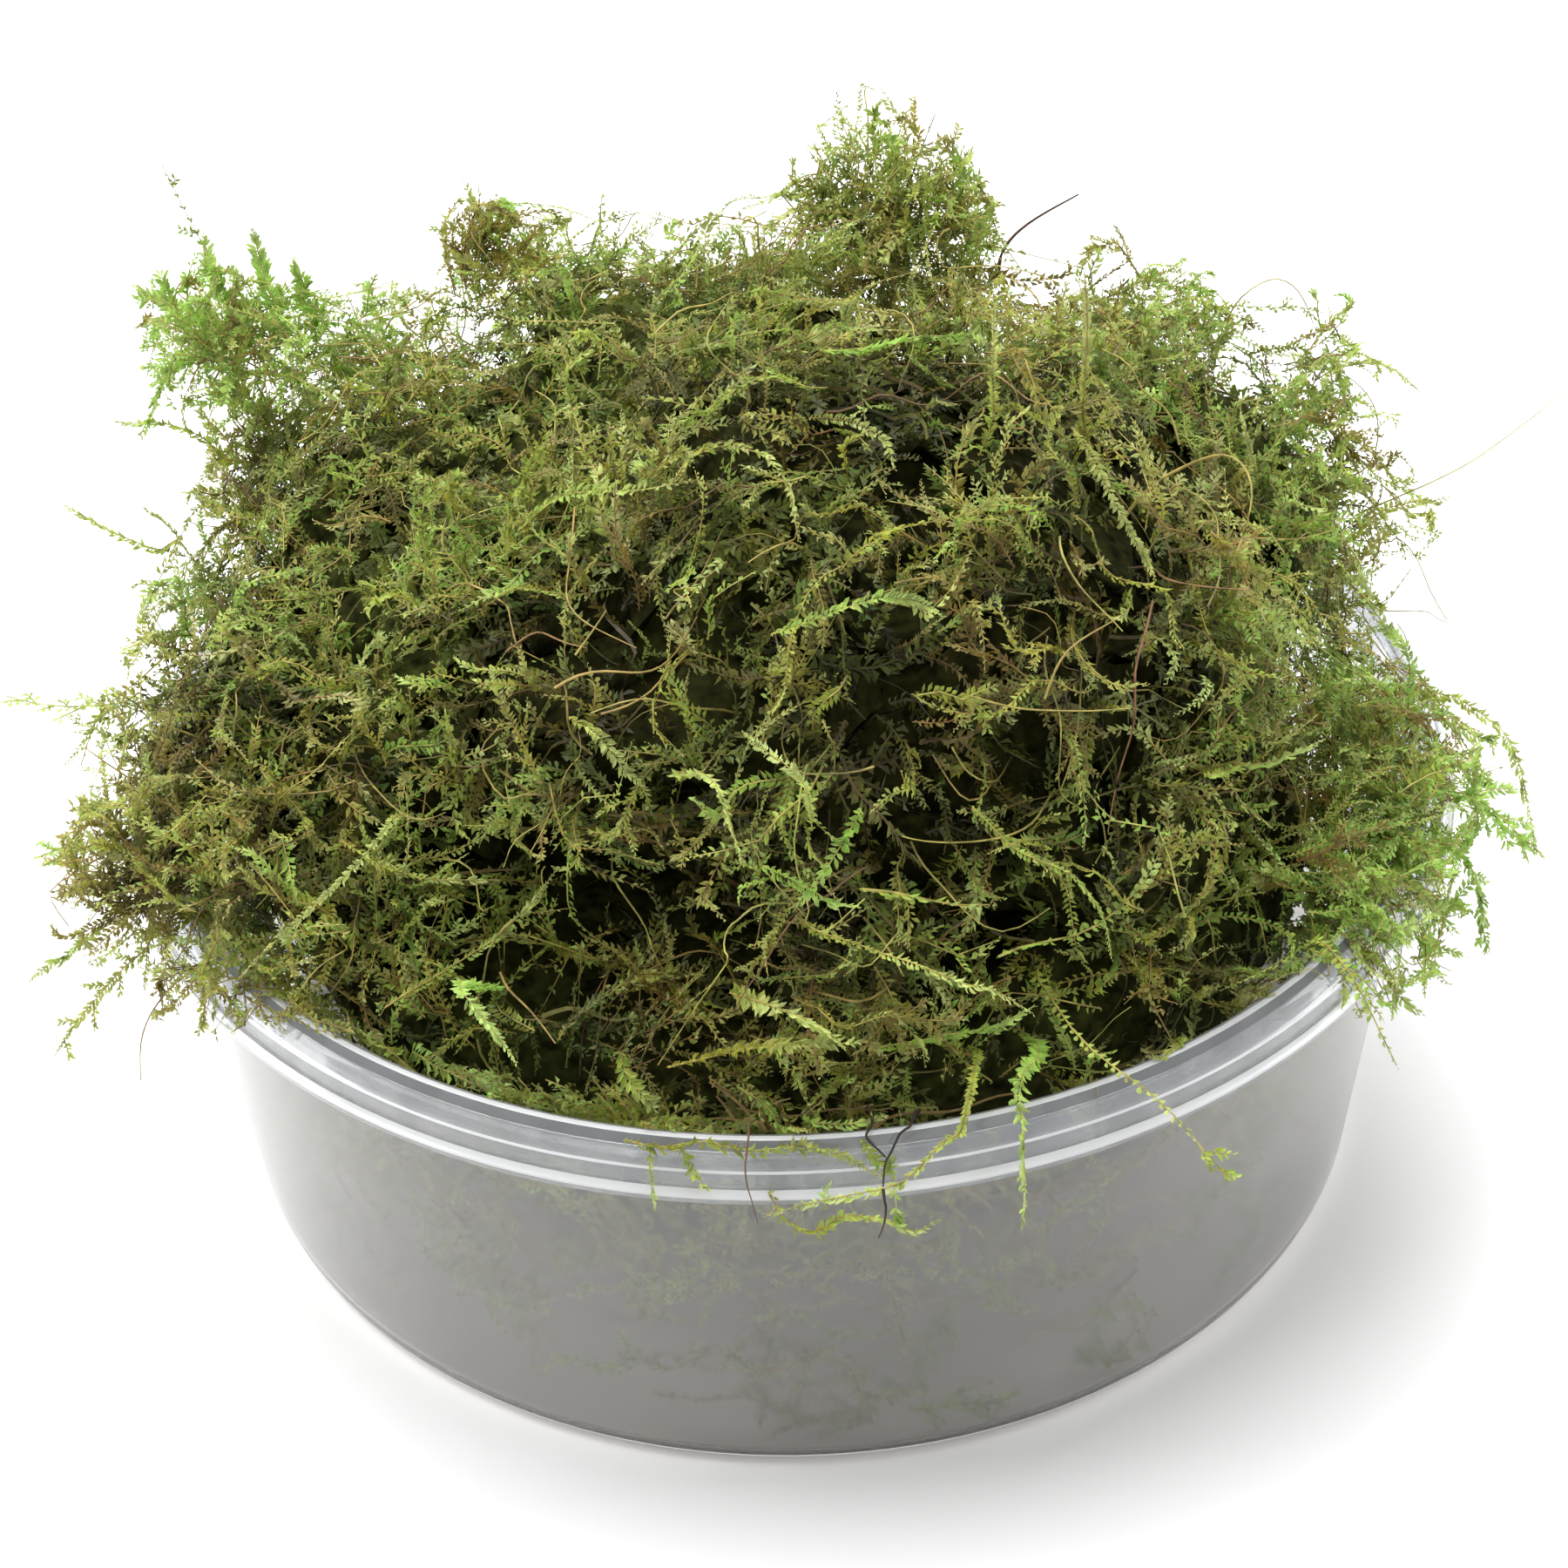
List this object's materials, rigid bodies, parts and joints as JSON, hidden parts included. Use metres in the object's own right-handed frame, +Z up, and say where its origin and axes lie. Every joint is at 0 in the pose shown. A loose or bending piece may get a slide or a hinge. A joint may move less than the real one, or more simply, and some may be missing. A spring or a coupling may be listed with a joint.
{
  "type": "potted christmas moss",
  "caption": "Loose heap of feathery green aquarium moss in a round frosted plastic tub with an open top.",
  "frame": {"origin": "centre of the tub's flat underside", "axes": "+Z up out of the tub, -Y towards the front of the heap, +X to the right seen from the front"},
  "size_m": [0.1181, 0.1096, 0.0791],
  "materials": {
    "plastic": "frosted translucent wall with a glossier clear rim",
    "moss": "matt olive and bright green tangle of fine leafy shoots",
    "leaf": "matt fresh green leaves in two rows along each shoot",
    "stem": "matt yellow-brown fine stems",
    "twig": "dark brown to black woody bits"
  },
  "bodies": {
    "root": {"tub": "plastic", "moss_in_tub": "moss", "front_clump": "moss", "back_clump": "moss", "back_right_clump": "moss", "back_left_clump": "moss", "left_clump": "moss", "right_clump": "moss", "peak_clump": "moss", "left_spur": "moss", "top_tuft": "moss", "rim_hair": "stem", "rim_strand": "leaf", "rim_twig": "twig", "rim_frond": "leaf", "rim_long_stem": "leaf", "right_hanging_frond": "leaf", "right_low_frond": "leaf", "right_green_frond": "leaf", "right_drooping_frond": "leaf", "right_upper_frond": "leaf", "right_wisp": "stem", "left_far_frond": "leaf", "left_low_frond": "leaf", "left_fan_frond": "leaf", "left_fan_stem": "stem", "left_hanging_hair": "stem", "left_high_frond": "leaf", "left_back_frond": "leaf", "spur_end_frond": "leaf", "spur_drooping_frond": "leaf", "spur_frond_1": "leaf", "spur_frond_2": "leaf", "spur_frond_3": "leaf", "top_tuft_frond": "leaf", "peak_frond_1": "leaf", "peak_frond_2": "leaf", "top_right_twig": "twig", "top_right_stem": "stem", "upper_right_frond": "leaf", "front_upright_frond": "leaf", "front_short_frond": "leaf", "front_curved_stem": "stem", "front_pale_stem": "stem", "front_low_frond": "leaf", "front_long_stem": "stem", "front_pale_frond": "leaf", "back_frond_1": "leaf", "back_frond_2": "leaf", "back_frond_3": "leaf", "back_left_frond": "leaf"}
  },
  "joints": []
}
